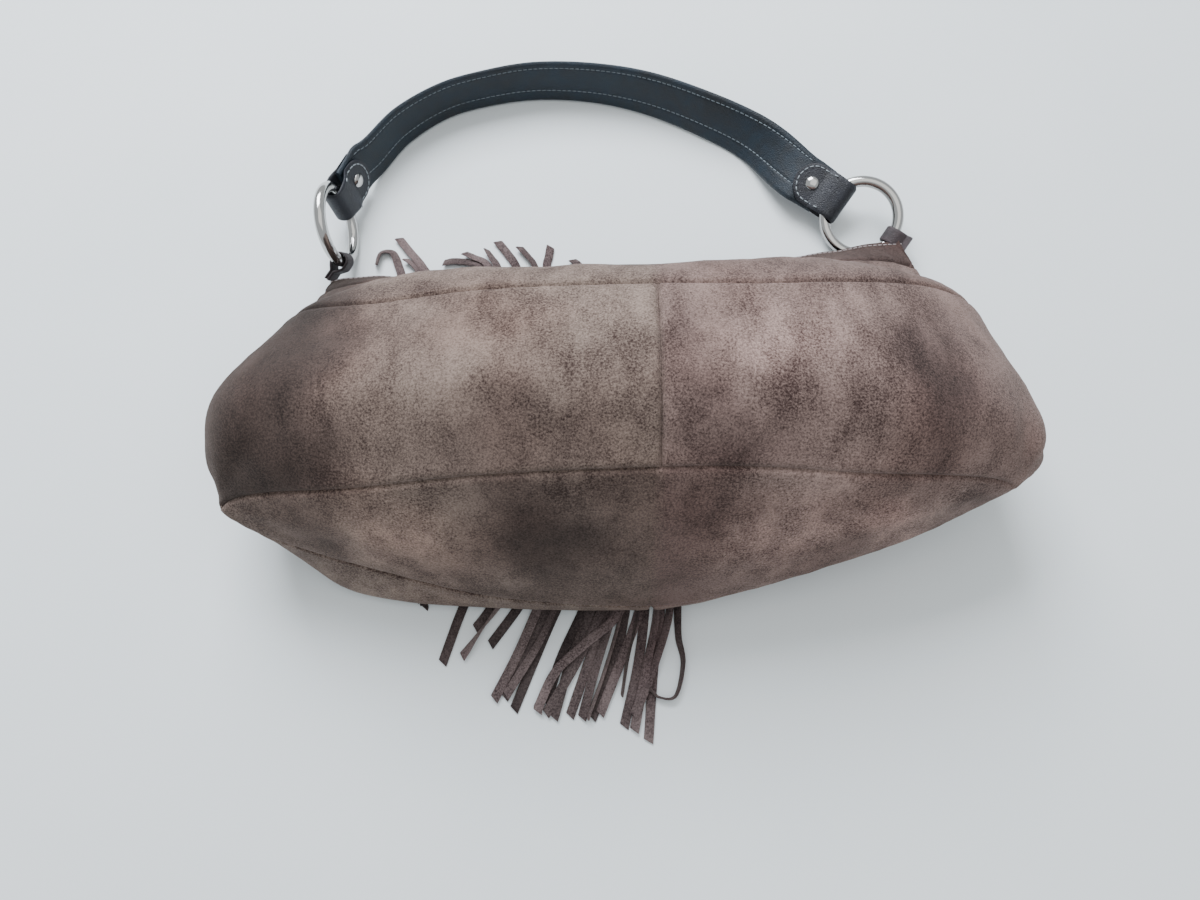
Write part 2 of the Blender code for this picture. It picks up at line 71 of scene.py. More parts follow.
def add(tree, kind, inputs=(), **settings):
    """A node with its settings, its constant inputs and its links."""
    made = tree.nodes.new(kind)
    for name, value in settings.items():
        setattr(made, name, value)
    for name, value in dict(inputs).items():
        if isinstance(value, bpy.types.NodeSocket):
            tree.links.new(value, made.inputs[name])
        else:
            made.inputs[name].default_value = value
    return made


def new_material(name, **constants):
    """An empty Principled material, with the constant values set on the shader's own sockets."""
    made = bpy.data.materials.new(name)
    made.use_nodes = True
    tree = made.node_tree
    shader = tree.nodes["Principled BSDF"]
    for key, value in constants.items():
        shader.inputs[key.replace("_", " ")].default_value = value
    return made, tree, shader


CAMERA_ELEVATION = math.radians(72)
camera_data = bpy.data.cameras.new("camera")
camera_data.lens = 27.9
camera_data.sensor_width = 36.0
camera = bpy.data.objects.new("camera", camera_data)
camera.location = at(0, -157, 483.1)
camera.rotation_euler = (math.pi / 2 - CAMERA_ELEVATION, 0, 0)
bpy.context.scene.collection.objects.link(camera)
bpy.context.scene.camera = camera

world = bpy.data.worlds.new("soft room light")
bpy.context.scene.world = world
world.use_nodes = True
world.node_tree.nodes["Background"].inputs["Color"].default_value = linear("#EEF3F6")
world.node_tree.nodes["Background"].inputs["Strength"].default_value = 0.8


def add_light(name, place, size, power, colour):
    light = bpy.data.lights.new(name, "AREA")
    light.shape = "SQUARE"
    light.size = size
    light.energy = power
    light.color = linear(colour)[:3]
    obj = bpy.data.objects.new(name, light)
    obj.location = place
    obj.rotation_euler = (-Vector(place)).to_track_quat("-Z", "Y").to_euler()
    bpy.context.scene.collection.objects.link(obj)


add_light("window_light", (-0.35, 0.95, 1.15), 0.9, 42.0, "#F4F8FF")
add_light("ceiling_bounce", (0.30, -0.10, 1.60), 1.6, 8.0, "#FFFDF8")

table_material, tree, shader = new_material("painted table", Roughness=0.75)
place = add(tree, "ShaderNodeTexCoord").outputs["Object"]
mottle = add(tree, "ShaderNodeTexNoise", {"Vector": place, "Scale": 9.0, "Detail": 3.0}).outputs["Fac"]
ramp = add(tree, "ShaderNodeValToRGB", {"Fac": mottle})
ramp.color_ramp.elements[0].color = linear("#E0E7EA")
ramp.color_ramp.elements[1].color = linear("#E9EEF0")
tree.links.new(ramp.outputs["Color"], shader.inputs["Base Color"])
bpy.ops.mesh.primitive_plane_add(size=6.0)
table = bpy.context.active_object
table.name = "table"
table.data.materials.append(table_material)

# ---------------------------------------------------------------------------------------------------------
# The suede shell: two back panels, a back yoke and hem, the pointed base panel, and the same again in front.
# Each is cut from 1.6 mm split suede and sewn edge to edge, so it rolls down into its seams.
SUEDE = 1.6
YOKE_AT = 3.0
HEM_AT = 5.333
CENTRE_AT = 5.0
FRINGE_CENTRE = (11.0, 11.0)
FRINGE_ZONE = 74.0
FLOOR_LIFT = 3.9

BACK_RAILS = [
    [(-180, -48, 57), (-172, -45.5, 64), (-152, -45, 74), (-110, -47.5, 90), (-47, -45, 103), (26, -42.5, 106),
     (70, -42, 104.5), (115, -43, 98), (152, -40.5, 87), (180, -39, 76), (194, -40, 67)],
    [(-183, -24, 48), (-185, -25, 68), (-168, -23, 88), (-116, -22, 105), (-50, -20, 117), (26, -20, 120),
     (74, -20, 118.5), (122, -20, 112), (166, -20, 99), (200, -21, 80), (212, -23, 58)],
    [(-181, 5, 41), (-184, 4, 66), (-166, 4, 91), (-118, 3, 108), (-52, 2, 120), (26, 2, 122),
     (76, 2, 120.5), (126, 3, 113), (172, 4, 97), (203, 5, 74), (208, 6, 45)],
    [(-171, 46, 27), (-159, 46, 56), (-141, 48, 74), (-104, 43.5, 90), (-51, 44, 103), (26, 44.5, 108),
     (72, 45, 107), (118, 49, 101), (157, 54, 86), (186, 55, 62), (199, 48, 29)],
    [(-164, 66, 20), (-150, 64, 43), (-132, 63, 62), (-97, 65, 78), (-45, 64, 88), (26, 64, 90),
     (70, 67, 89), (108, 70, 84), (142, 72, 71), (171, 77, 44), (191, 74, 21)],
    [(-157, 83, 15), (-145, 80, 29), (-126, 78, 41), (-92, 77, 52), (-43, 75, 58), (26, 75, 60),
     (68, 78, 58), (106, 84, 51), (138, 91, 40), (163, 96, 27), (181, 96, 15)],
    [(-151, 97, 12), (-141, 97.5, 15), (-123, 97, 18), (-89, 94, 22), (-41, 92, 26), (26, 94, 27),
     (66, 99, 25), (104, 106, 20), (131, 113, 17), (153, 119, 15.5), (171, 122, 13)],
]
FRONT_RAILS = [
    [(-180, -48, 57), (-173, -53, 52), (-152, -61, 43), (-110, -72, 33.5), (-47, -85, 25), (26, -88.5, 22.5),
     (70, -81.5, 27), (115, -69.5, 34), (152, -58, 42.5), (180, -45.5, 54), (194, -40, 67)],
    [(-183, -24, 48), (-176, -38, 25), (-150, -62, 10), (-120, -79, 3), (-52, -84, 3), (26, -83, 3),
     (66, -76, 3), (110, -62, 6), (146, -48, 12), (184, -34, 30), (212, -23, 58)],
    [(-181, 5, 41), (-166, -14, 13), (-142, -28, 0.6), (-112, -40, 0), (-50, -42, 0), (26, -42, 0),
     (70, -38, 0), (112, -32, 0), (148, -24, 1), (184, -14, 17), (208, 6, 45)],
    [(-171, 46, 27), (-156, 36, 7), (-138, 30, 0), (-108, 24, 0), (-50, 22, 0), (26, 22, 0),
     (72, 24, 0), (114, 28, 0), (150, 34, 0.4), (180, 42, 10), (199, 48, 29)],
    [(-164, 66, 20), (-148, 60, 5), (-130, 58, 0), (-98, 56, 0), (-47, 55, 0), (26, 56, 0),
     (70, 58, 0), (108, 62, 0), (142, 66, 0.4), (170, 71, 7), (191, 74, 21)],
    [(-157, 83, 15), (-143, 80, 4), (-125, 79, 0), (-92, 78, 0), (-44, 76, 0), (26, 76, 0),
     (67, 79, 0), (105, 84, 0), (136, 88, 1), (161, 90, 6), (181, 96, 15)],
    [(-151, 97, 12), (-140, 96, 4), (-123, 96, 1), (-89, 94, 1), (-41, 92, 1), (26, 93, 1),
     (66, 97, 1), (104, 102, 1), (131, 105, 2), (153, 109, 5), (171, 122, 13)],
]


def curve_through(points, where):
    """Catmull-Rom values at the given places along a run of points, counted in spans."""
    pts = np.array(points, float)
    ends = np.concatenate([2 * pts[:1] - pts[1:2], pts, 2 * pts[-1:] - pts[-2:-1]])
    span = np.clip(np.floor(where).astype(int), 0, len(pts) - 2)
    t = (where - span).reshape((-1,) + (1,) * (pts.ndim - 1))
    a, b, c, d = (ends[span + k] for k in range(4))
    return 0.5 * (2 * b + (c - a) * t + (2 * a - 5 * b + 4 * c - d) * t**2 + (3 * b - a - 3 * c + d) * t**3)


def sheet_at(rails, across, along):
    """The shell's surface: rows from base seam to mouth at the places along, columns at the places across."""
    rows = np.array([curve_through(rail, across) for rail in rails])
    return curve_through(rows, along)


def lift_over_fringe(grid):
    away = np.abs(grid[..., 0] - FRINGE_CENTRE[0]) - FRINGE_ZONE
    raised = FLOOR_LIFT * np.clip(1.0 - away / 30.0, 0.0, 1.0)
    out = grid.copy()
    out[..., 2] = np.maximum(grid[..., 2], raised)
    return out


def gathered(low, high, count):
    """Places from low to high, closer together towards both ends, where the panel rolls into its seams."""
    u = np.linspace(0, 1, count)
    return low + (high - low) * (u - np.sin(2 * math.pi * u) * 0.88 / (2 * math.pi))


def normals_of(grid):
    down = np.gradient(grid, axis=0)
    over = np.gradient(grid, axis=1)
    n = np.cross(over, down)
    return n / np.maximum(np.linalg.norm(n, axis=2, keepdims=True), 1e-9)


def distance_in(grid, axis, from_end):
    """How far each point is from one edge of its panel, in millimetres along the surface."""
    step = np.linalg.norm(np.diff(grid, axis=axis), axis=2)
    zero = np.zeros_like(np.take(step, [0], axis=axis))
    if from_end:
        return np.flip(np.cumsum(np.concatenate([zero, np.flip(step, axis)], axis), axis), axis)
    return np.cumsum(np.concatenate([zero, step], axis), axis)


def field(grid, size, seed, octaves=3):
    """Smooth noise over a grid of points, with features of about size millimetres."""
    out = np.zeros(grid.shape[:2])
    shift = Vector((seed * 7.13, seed * 3.71, seed * 1.97))
    for r in range(grid.shape[0]):
        for c in range(grid.shape[1]):
            out[r, c] = noise.fractal(Vector(grid[r, c]) / size + shift, 0.9, 2.0, octaves)
    return out


def corner_folds(grid, corner, reach, count, height, turn):
    """Shallow folds that spread from a gathered corner and die out over the panel."""
    away = grid - np.array(corner)
    far = np.linalg.norm(away, axis=2)
    angle = np.arctan2(away[..., 1] + 0.5 * away[..., 2], away[..., 0])
    fade = np.exp(-((far - reach * 0.45) / (reach * 0.42)) ** 2)
    return height * fade * np.cos(angle * count + turn)


def shaped(grid, edges, seed, soften=1.0):
    """The surface with its soft swells, its gathered corners and its rolled seam edges."""
    normal = normals_of(grid)
    swell = 1.3 * field(grid, 46.0, seed) + 0.45 * field(grid, 17.0, seed + 5)
    for corner, turn in (((-180, -48, 57), 0.6), ((194, -40, 67), 1.9)):
        swell += corner_folds(grid, corner, 75.0, 9.0, 1.0, turn)
    edge = np.full(grid.shape[:2], 1e3)
    for axis, from_end in edges:
        edge = np.minimum(edge, distance_in(grid, axis, from_end))
    pucker = 1.0 + 0.5 * field(grid, 8.0, seed + 9, 2)
    roll = -1.25 * np.exp(-((edge / 1.1) ** 2)) + 0.75 * pucker * (edge / 4.0) * np.exp(1 - edge / 4.0)
    still = 1 - np.exp(-((edge / 14.0) ** 2))
    return grid + normal * (swell * still * soften + roll)[..., None]


def slab(outer, inner):
    """Points and quads of the closed solid between two grids."""
    rows, cols = outer.shape[:2]
    size = rows * cols
    points = np.concatenate([outer.reshape(-1, 3), inner.reshape(-1, 3)])
    faces = []
    for r in range(rows - 1):
        for c in range(cols - 1):
            a = r * cols + c
            faces.append((a, a + 1, a + cols + 1, a + cols))
            faces.append((a + size, a + cols + size, a + cols + 1 + size, a + 1 + size))
    rim = list(range(cols)) + [r * cols + cols - 1 for r in range(1, rows)]
    rim += [(rows - 1) * cols + c for c in range(cols - 2, -1, -1)] + [r * cols for r in range(rows - 2, 0, -1)]
    faces += [(b, a, a + size, b + size) for a, b in zip(rim, rim[1:] + rim[:1])]
    return points, faces


def add_piece(name, points, faces, finish, body, stands_for=(), sharp=50):
    """A mesh from layout millimetres, with its faces out, that rides on a body and replaces CAD nodes."""
    mesh = bpy.data.meshes.new(name)
    mesh.from_pydata([tuple(at(*p)) for p in points], [], faces)
    bm = bmesh.new()
    bm.from_mesh(mesh)
    bmesh.ops.remove_doubles(bm, verts=bm.verts, dist=1e-6)
    bmesh.ops.recalc_face_normals(bm, faces=bm.faces)
    bm.to_mesh(mesh)
    bm.free()
    mesh.shade_smooth()
    mesh.set_sharp_from_angle(angle=math.radians(sharp))
    mesh.materials.append(finish)
    obj = bpy.data.objects.new(name, mesh)
    bpy.context.scene.collection.objects.link(obj)
    if stands_for:
        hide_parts(*stands_for)
    if body:
        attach(obj, body)
    return obj


def suede_finish(name, light, dark, warm):
    """Split suede: a dull brushed nap that shows lighter and darker patches where it lies different ways, multiplied
    by the stored nap tint, which also carries painted light and shade.
    """
    made, tree, shader = new_material(name, Roughness=0.92, Sheen_Weight=0.22, Sheen_Roughness=0.55,
                                      Sheen_Tint=linear("#C9B8AE"), Specular_IOR_Level=0.2)
    place = add(tree, "ShaderNodeTexCoord").outputs["Object"]
    clouds = add(tree, "ShaderNodeTexNoise", {"Vector": place, "Scale": 1 / 0.048, "Detail": 3.0}).outputs["Fac"]
    stroke = add(tree, "ShaderNodeMapping", {"Vector": place, "Rotation": (0, 0, 0.5), "Scale": (1.0, 0.45, 1.0)})
    brushed = add(tree, "ShaderNodeTexNoise", {"Vector": stroke.outputs["Vector"], "Scale": 1 / 0.013,
                                               "Detail": 5.0, "Roughness": 0.6}).outputs["Fac"]
    nap = add(tree, "ShaderNodeTexNoise", {"Vector": place, "Scale": 1 / 0.0009, "Detail": 5.0,
                                           "Roughness": 0.7}).outputs["Fac"]
    broad = add(tree, "ShaderNodeMath", {0: clouds, 1: 0.55, 2: 0.0}, operation="MULTIPLY_ADD").outputs["Value"]
    half = add(tree, "ShaderNodeMath", {0: brushed, 1: 0.65, 2: broad}, operation="MULTIPLY_ADD").outputs["Value"]
    speck = add(tree, "ShaderNodeMath", {0: nap, 1: 1.5, 2: half}, operation="MULTIPLY_ADD").outputs["Value"]
    tone = add(tree, "ShaderNodeMapRange", {"Value": speck, "From Min": 1.10, "From Max": 1.62}).outputs["Result"]
    shade = add(tree, "ShaderNodeMix", {"Factor": tone, "A": linear(dark), "B": linear(light)}, data_type="RGBA")
    plum = add(tree, "ShaderNodeTexNoise", {"Vector": place, "Scale": 1 / 0.075, "Detail": 2.0}).outputs["Fac"]
    plum = add(tree, "ShaderNodeMapRange", {"Value": plum, "From Min": 0.42, "From Max": 0.68}).outputs["Result"]
    tint = add(tree, "ShaderNodeMix", {"Factor": plum, "A": shade.outputs["Result"], "B": linear(warm)},
               data_type="RGBA", blend_type="MULTIPLY").outputs["Result"]
    # The stored nap tint holds painted light and shade as well as the nap's own tone.
    laid = add(tree, "ShaderNodeAttribute", attribute_name="nap").outputs["Color"]
    final = add(tree, "ShaderNodeMix", {"Factor": 1.0, "A": tint, "B": laid}, data_type="RGBA",
                blend_type="MULTIPLY").outputs["Result"]
    tree.links.new(final, shader.inputs["Base Color"])
    height = add(tree, "ShaderNodeMath", {0: nap, 1: brushed}, operation="ADD").outputs["Value"]
    bump = add(tree, "ShaderNodeBump", {"Height": height, "Strength": 0.55, "Distance": 0.0007})
    tree.links.new(bump.outputs["Normal"], shader.inputs["Normal"])
    return made


# Where the nap has been stroked lighter or darker, together with painted light and shade for how light falls on the
# shell (lighter over the top, painted shade beside the centre seam and over parts of the base panel): middle across,
# middle along, reach across, reach along and change of tone. Along is y on the back and front, and z on the base
# panel.
BACK_NAP_AND_SHADE = [
    (-78, 14, 38, 34, -0.08), (-20, 26, 44, 16, 0.16), (-52, -32, 40, 16, -0.34), (-12, -20, 30, 20, -0.20),
    (42, 8, 14, 26, -0.24), (84, 16, 30, 20, 0.62), (60, -32, 26, 15, -0.46), (108, -12, 24, 22, -0.06),
    (150, 4, 13, 34, -0.58), (180, -8, 16, 30, -0.18), (-150, 34, 26, 22, -0.35), (-156, -20, 22, 18, 0.10),
    (70, 62, 60, 10, -0.12), (-90, 60, 40, 10, 0.06),
]
BASE_NAP_AND_SHADE = [
    (-136, 60, 24, 22, -0.52), (-88, 64, 24, 24, 0.85), (-20, 74, 32, 34, -0.72), (30, 50, 26, 30, -0.34),
    (40, 88, 18, 14, -0.20), (84, 72, 28, 26, 0.85), (140, 66, 30, 18, 1.05), (172, 66, 8, 10, -0.50),
    (-40, 30, 60, 14, -0.30), (110, 48, 18, 10, -0.30),
]


def lay_nap_and_shade(obj, nap_and_shade_patches, along, tone, end):
    """Stores how the nap lies at each point as a tint, with painted light and shade laid in: dark at the left end
    (painted shade as well as nap), a little darker at the right end, and plum right of the seam.
    """
    layer = obj.data.attributes.new("nap", "FLOAT_COLOR", "POINT")
    for k, vertex in enumerate(obj.data.vertices):
        spot = vertex.co / MM + LAYOUT_ORIGIN
        drift = noise.noise_vector(spot / 34.0) * 20.0 + noise.noise_vector(spot / 9.0) * 5.0
        x, y = spot.x + drift.x, spot[along] + drift.y
        # Painted shade as well as the nap's tone: darker at the left end, and a little darker at the right end.
        left_end = 1 / (1 + math.exp((x + 120) / 6))
        right_end = 1 / (1 + math.exp(-(x - 168) / 10))
        plum = 1 / (1 + math.exp(-(spot.x - 26) / 0.8))
        here = tone * (1.0 - end * left_end - 0.14 * right_end)
        # Each patch stands for the nap's tone and for painted light and shade together.
        for mx, my, rx, ry, change in nap_and_shade_patches:
            here *= 1 + change * math.exp(-(((x - mx) / rx) ** 2) - ((y - my) / ry) ** 2)
        # Darker places, painted shade included, are made a little warmer.
        warmth_where_darker = max(0.0, 1.0 - here)
        green = here * (1 - 0.07 * plum - 0.12 * warmth_where_darker)
        blue = here * (1 - 0.02 * plum - 0.08 * warmth_where_darker)
        layer.data[k].color = (here, green, blue, 1)


SUEDE_FINISH = suede_finish("brushed split suede", "#8B7B71", "#30221F", "#F1E6E4")
# The hem is painted much darker than the yoke: painted shade that parts it from the yoke.
HEM_PAINTED_SHADE = 0.40
# The base panel is painted darker overall: painted shade, as it faces away from the light.
BASE_PAINTED_SHADE = 0.84
# How much the left end of the back is darkened: painted shade as well as nap tone.
DARK_LEFT_END = 0.78
ROWS_ENDS = [(0, False), (0, True)]
ALL_ENDS = ROWS_ENDS + [(1, False), (1, True)]


def add_panel(name, rails, across, along, edges, seed, stands_for):
    """One cut panel of the shell, its edges parted from its neighbours' by a needle's width."""
    grid = sheet_at(rails, across, along)
    if rails is FRONT_RAILS:
        grid = lift_over_fringe(grid)
    outward = 1.0 if rails is BACK_RAILS else -1.0
    normal = normals_of(grid) * outward
    outer = shaped(grid, edges, seed, 1.0 if rails is BACK_RAILS else 0.25)
    if rails is FRONT_RAILS:
        outer = 2 * grid - outer
        outer[..., 2] = np.maximum(outer[..., 2], np.minimum(grid[..., 2], FLOOR_LIFT))
    inner = outer - normal * SUEDE
    for side in (outer, inner):
        side[0] += (side[1] - side[0]) * 0.12
        side[-1] += (side[-2] - side[-1]) * 0.12
        side[:, 0] += (side[:, 1] - side[:, 0]) * 0.12
        side[:, -1] += (side[:, -2] - side[:, -1]) * 0.12
    points, faces = slab(outer, inner)
    obj = add_piece(name, points, faces, SUEDE_FINISH, "bag", stands_for)
    # The hem gets its painted shade; every panel gets the nap tint with its painted light and shade.
    tone = HEM_PAINTED_SHADE if name.endswith("hem") else 1.0
    lay_nap_and_shade(obj, BACK_NAP_AND_SHADE, 1, tone, DARK_LEFT_END if rails is BACK_RAILS else 0.1)
    return outer


LEFT_HALF = gathered(0.0, CENTRE_AT, 90)
RIGHT_HALF = gathered(CENTRE_AT, 10.0, 90)
FULL_WIDTH = gathered(0.0, 10.0, 170)
TO_YOKE = gathered(0.0, YOKE_AT, 50)
TO_HEM = gathered(YOKE_AT, HEM_AT, 30)
TO_MOUTH = gathered(HEM_AT, 6.0, 12)
for side, rails in (("back", BACK_RAILS), ("front", FRONT_RAILS)):
    add_panel(f"suede_{side}_left", rails, LEFT_HALF, TO_YOKE, ALL_ENDS, 3, [f"{side}_panel_left"])
    add_panel(f"suede_{side}_right", rails, RIGHT_HALF, TO_YOKE, ALL_ENDS, 4, [f"{side}_panel_right"])
    add_panel(f"suede_{side}_yoke", rails, FULL_WIDTH, TO_HEM, ROWS_ENDS, 6, [f"{side}_yoke"])
HEMS = {}
for side, rails in (("back", BACK_RAILS), ("front", FRONT_RAILS)):
    HEMS[side] = add_panel(f"suede_{side}_hem", rails, FULL_WIDTH, TO_MOUTH, [(0, False)], 8, [f"{side}_hem"])


def base_grid(across, rows):
    """The pointed base panel between the two base seams."""
    top = curve_through(BACK_RAILS[0], across)
    low = lift_over_fringe(curve_through(FRONT_RAILS[0], across)[None])[0]
    width = np.linalg.norm(top - low, axis=1)[:, None]
    lines = []
    for t in rows:
        swell = np.array([0.0, -0.85, 0.2]) * math.sin(math.pi * t) * width * 0.09
        lines.append(top * (1 - t) + low * t + swell)
    return np.array(lines)


base = base_grid(gathered(0.15, 9.85, 170), gathered(0.0, 1.0, 34))
base_normal = -normals_of(base)
base_outer = 2 * base - shaped(base, ROWS_ENDS, 11, 0.7)
points, faces = slab(base_outer, base_outer - base_normal * SUEDE)
base_piece = add_piece("suede_base", points, faces, SUEDE_FINISH, "bag", ["base_panel"])
# The base panel's nap tint, with its painted light and shade.
lay_nap_and_shade(base_piece, BASE_NAP_AND_SHADE, 2, BASE_PAINTED_SHADE, 0.0)

# ---------------------------------------------------------------------------------------------------------
# The lining: one bag of plain dark cotton cloth, dropped inside the suede and sewn in at the mouth.
LINING_DEPTH = 3.2
lining_finish, tree, shader = new_material("plain cotton lining", Roughness=0.85, Sheen_Weight=0.15)
place = add(tree, "ShaderNodeTexCoord").outputs["Object"]
warp = add(tree, "ShaderNodeTexWave", {"Vector": place, "Scale": 1 / 0.0035}, bands_direction="X").outputs["Fac"]
weft = add(tree, "ShaderNodeTexWave", {"Vector": place, "Scale": 1 / 0.0035}, bands_direction="Y").outputs["Fac"]
weave = add(tree, "ShaderNodeMath", {0: warp, 1: weft}, operation="MULTIPLY").outputs["Value"]
cloth = add(tree, "ShaderNodeMix", {"Factor": weave, "A": linear("#2A2624"), "B": linear("#3D3735")},
            data_type="RGBA")
tree.links.new(cloth.outputs["Result"], shader.inputs["Base Color"])
bump = add(tree, "ShaderNodeBump", {"Height": weave, "Strength": 0.4, "Distance": 0.0003})
tree.links.new(bump.outputs["Normal"], shader.inputs["Normal"])

inside = np.linspace(0.8, 9.2, 90)
back = sheet_at(BACK_RAILS, inside, np.linspace(0, 5.9, 45))
front = lift_over_fringe(sheet_at(FRONT_RAILS, inside, np.linspace(0, 5.9, 45)))
floor = base_grid(inside, np.linspace(0, 1, 12))
strip = np.concatenate([back[::-1], floor[1:-1], front])
inward = normals_of(strip)
strip = strip + inward * (LINING_DEPTH + 0.5 * field(strip, 20.0, 21))[..., None]
points, faces = slab(strip, strip + inward * 0.5)
add_piece("cotton_lining", points, faces, lining_finish, "bag", ["lining"])

# ---------------------------------------------------------------------------------------------------------
# The shoulder strap: two layers of smooth blue-black leather over a thin filler, 30 mm wide, with its edges
# rolled over and two rows of pale thread. It stands on one edge and leans out, as it came to rest.
STRAP_WIDTH = 30.0
STRAP_THICK = 3.2
TAB_WIDTH = 25.0
TAB_THICK = 1.8
RING_RADIUS = 20.7
RING_WIRE = 3.2
RIVET_REACH = 13.8
STITCH_PITCH = 3.1
STITCH_LINES = (11.2, -6.0)
LEFT_RING = Vector((-148.0, 125.5, 24.4))
LEFT_RING_ALONG = Vector((-0.06, 0.97, 0.10))
LEFT_RING_ACROSS = Vector((-0.20, 0.0, 0.98))
LEFT_STRAP_PULL = Vector((0.36, 0.93, -0.03))
LEFT_STRAP_TURN = math.radians(11)
RIGHT_RING = Vector((151.0, 137.0, 13.0))
RIGHT_RING_NORMAL = Vector((-0.15, -0.38, 0.91)).normalized()
RIGHT_STRAP_PULL = Vector((-0.81, 0.58, 0.10))
LEFT_ROOT = Vector((-151.0, 100.5, 12.5))
RIGHT_ROOT = Vector((173.6, 120.8, 11.8))
STRAP_ROUTE = [
    (-131, 176), (-117, 197), (-95, 215), (-71, 224), (-40, 229), (-5, 227), (28, 218), (61, 202), (87, 184),
]
STRAP_LEAN = [10, 6, 2, 2, 5, 8, 14, 20, 30]


def leather_finish(name, light, dark, shine):
    """Smooth full-grain leather: fine pebbled grain, faint creases and a low waxed shine."""
    made, tree, shader = new_material(name, Specular_IOR_Level=0.45, Coat_Weight=0.08, Coat_Roughness=0.35)
    place = add(tree, "ShaderNodeTexCoord").outputs["Object"]
    grain = add(tree, "ShaderNodeTexVoronoi", {"Vector": place, "Scale": 1 / 0.0011},
                feature="DISTANCE_TO_EDGE").outputs["Distance"]
    crease = add(tree, "ShaderNodeTexNoise", {"Vector": place, "Scale": 1 / 0.006, "Detail": 5.0}).outputs["Fac"]
    worn = add(tree, "ShaderNodeTexNoise", {"Vector": place, "Scale": 1 / 0.03, "Detail": 3.0}).outputs["Fac"]
    mixed = add(tree, "ShaderNodeMath", {0: crease, 1: worn}, operation="ADD").outputs["Value"]
    tone = add(tree, "ShaderNodeMapRange", {"Value": mixed, "From Min": 0.75, "From Max": 1.25}).outputs["Result"]
    hue = add(tree, "ShaderNodeMix", {"Factor": tone, "A": linear(dark), "B": linear(light)}, data_type="RGBA")
    tree.links.new(hue.outputs["Result"], shader.inputs["Base Color"])
    dull = add(tree, "ShaderNodeMapRange", {"Value": crease, "To Min": shine, "To Max": shine + 0.22})
    tree.links.new(dull.outputs["Result"], shader.inputs["Roughness"])
    fine = add(tree, "ShaderNodeMath", {0: grain, 1: 350.0, 2: crease}, operation="MULTIPLY_ADD").outputs["Value"]
    bump = add(tree, "ShaderNodeBump", {"Height": fine, "Strength": 0.22, "Distance": 0.0004})
    tree.links.new(bump.outputs["Normal"], shader.inputs["Normal"])
    return made


def ribbon(name, centres, acrosses, half_widths, half_thick, finish, body, stands_for=(), lines=(), step=9):
    """A flat strip with rounded edges through the given middles and width directions, closed at both ends."""
    u = np.linspace(-1, 1, step)
    if lines:
        u = np.unique(np.concatenate([u, *[[w + d for d in (-0.09, -0.045, 0, 0.045, 0.09)] for w in lines]]))
    edge = np.clip((np.abs(u) - 0.86) / 0.14, 0, 1)
    swell = half_thick * np.sqrt(1 - edge**2 * 0.96)
    for w in lines:
        swell = swell - 0.32 * np.exp(-(((u - w) / 0.05) ** 2))
    sections = []
    for k, centre in enumerate(centres):
        run = centres[min(k + 1, len(centres) - 1)] - centres[max(k - 1, 0)]
        across = acrosses[k] / np.linalg.norm(acrosses[k])
        through = np.cross(run, across)
        through = through / np.linalg.norm(through)
        top = centre + np.outer(u * half_widths[k], across) + np.outer(swell, through)
        under = centre + np.outer(u * half_widths[k], across) - np.outer(swell, through)
        sections.append(np.concatenate([top, under[::-1]]))
    count = len(sections[0])
    points = np.concatenate(sections)
    faces = []
    for s in range(len(sections) - 1):
        for k in range(count):
            a, b = s * count + k, s * count + (k + 1) % count
            faces.append((a, b, b + count, a + count))
    last = len(points) - count
    for k in range(len(u) - 1):
        faces.append((k, k + 1, count - 2 - k, count - 1 - k))
        faces.append((last + k, last + k + 1, last + count - 2 - k, last + count - 1 - k))
    return add_piece(name, points, faces, finish, body, stands_for, 60)


def frame_from(origin, along, across):
    across = across.normalized()
    along = (along - across * along.dot(across)).normalized()
    return origin, along, across, along.cross(across)


left_across = LEFT_RING_ACROSS.normalized()
left_along = (LEFT_RING_ALONG - left_across * LEFT_RING_ALONG.dot(left_across)).normalized()
turn = math.cos(LEFT_STRAP_TURN), math.sin(LEFT_STRAP_TURN)
left_contact = LEFT_RING + (left_along * turn[0] - left_across * turn[1]) * RING_RADIUS
LEFT_END = frame_from(left_contact, LEFT_STRAP_PULL, left_across * turn[0] + left_along * turn[1])
pull = (RIGHT_STRAP_PULL - RIGHT_RING_NORMAL * RIGHT_STRAP_PULL.dot(RIGHT_RING_NORMAL)).normalized()
RIGHT_END = frame_from(RIGHT_RING + pull * RING_RADIUS, pull, RIGHT_RING_NORMAL.cross(pull))

middles = [LEFT_END[0] + LEFT_END[1] * x for x in (6.0, 15.0, 25.0)]
uprights = [LEFT_END[2]] * 3
for k, (x, y) in enumerate(STRAP_ROUTE):
    before, after = STRAP_ROUTE[max(k - 1, 0)], STRAP_ROUTE[min(k + 1, len(STRAP_ROUTE) - 1)]
    run = Vector((after[0] - before[0], after[1] - before[1], 0)).normalized()
    lean = math.radians(STRAP_LEAN[k])
    up = Vector((0, 0, math.cos(lean))) + Vector((-run.y, run.x, 0)) * math.sin(lean)
    middles.append(Vector((x, y, STRAP_THICK / 2 * math.sin(lean) + 0.2)) + up * STRAP_WIDTH / 2)
    uprights.append(up)
right_up = -RIGHT_END[2] if RIGHT_END[2].z < 0 else RIGHT_END[2]
middles += [RIGHT_END[0] + RIGHT_END[1] * x for x in (25.0, 15.0, 6.0)]
uprights += [right_up] * 3
places = np.linspace(0, len(middles) - 1, 260)
strap_line = curve_through(middles, places)
strap_up = curve_through(uprights, places)
near_end = np.minimum(places, places[-1] - places)
strap_half = STRAP_WIDTH / 2 - 1.5 * np.clip(1 - near_end / 3.0, 0, 1)
LEATHER = leather_finish("blue-black strap leather", "#10222F", "#0A131B", 0.5)
TAB_LEATHER = leather_finish("black tab leather", "#1C1F29", "#0F1118", 0.42)
ribbon("leather_strap", strap_line, strap_up, strap_half, STRAP_THICK / 2, LEATHER, "handle",
       ["strap"], tuple(w / (STRAP_WIDTH / 2) for w in STITCH_LINES), 25)

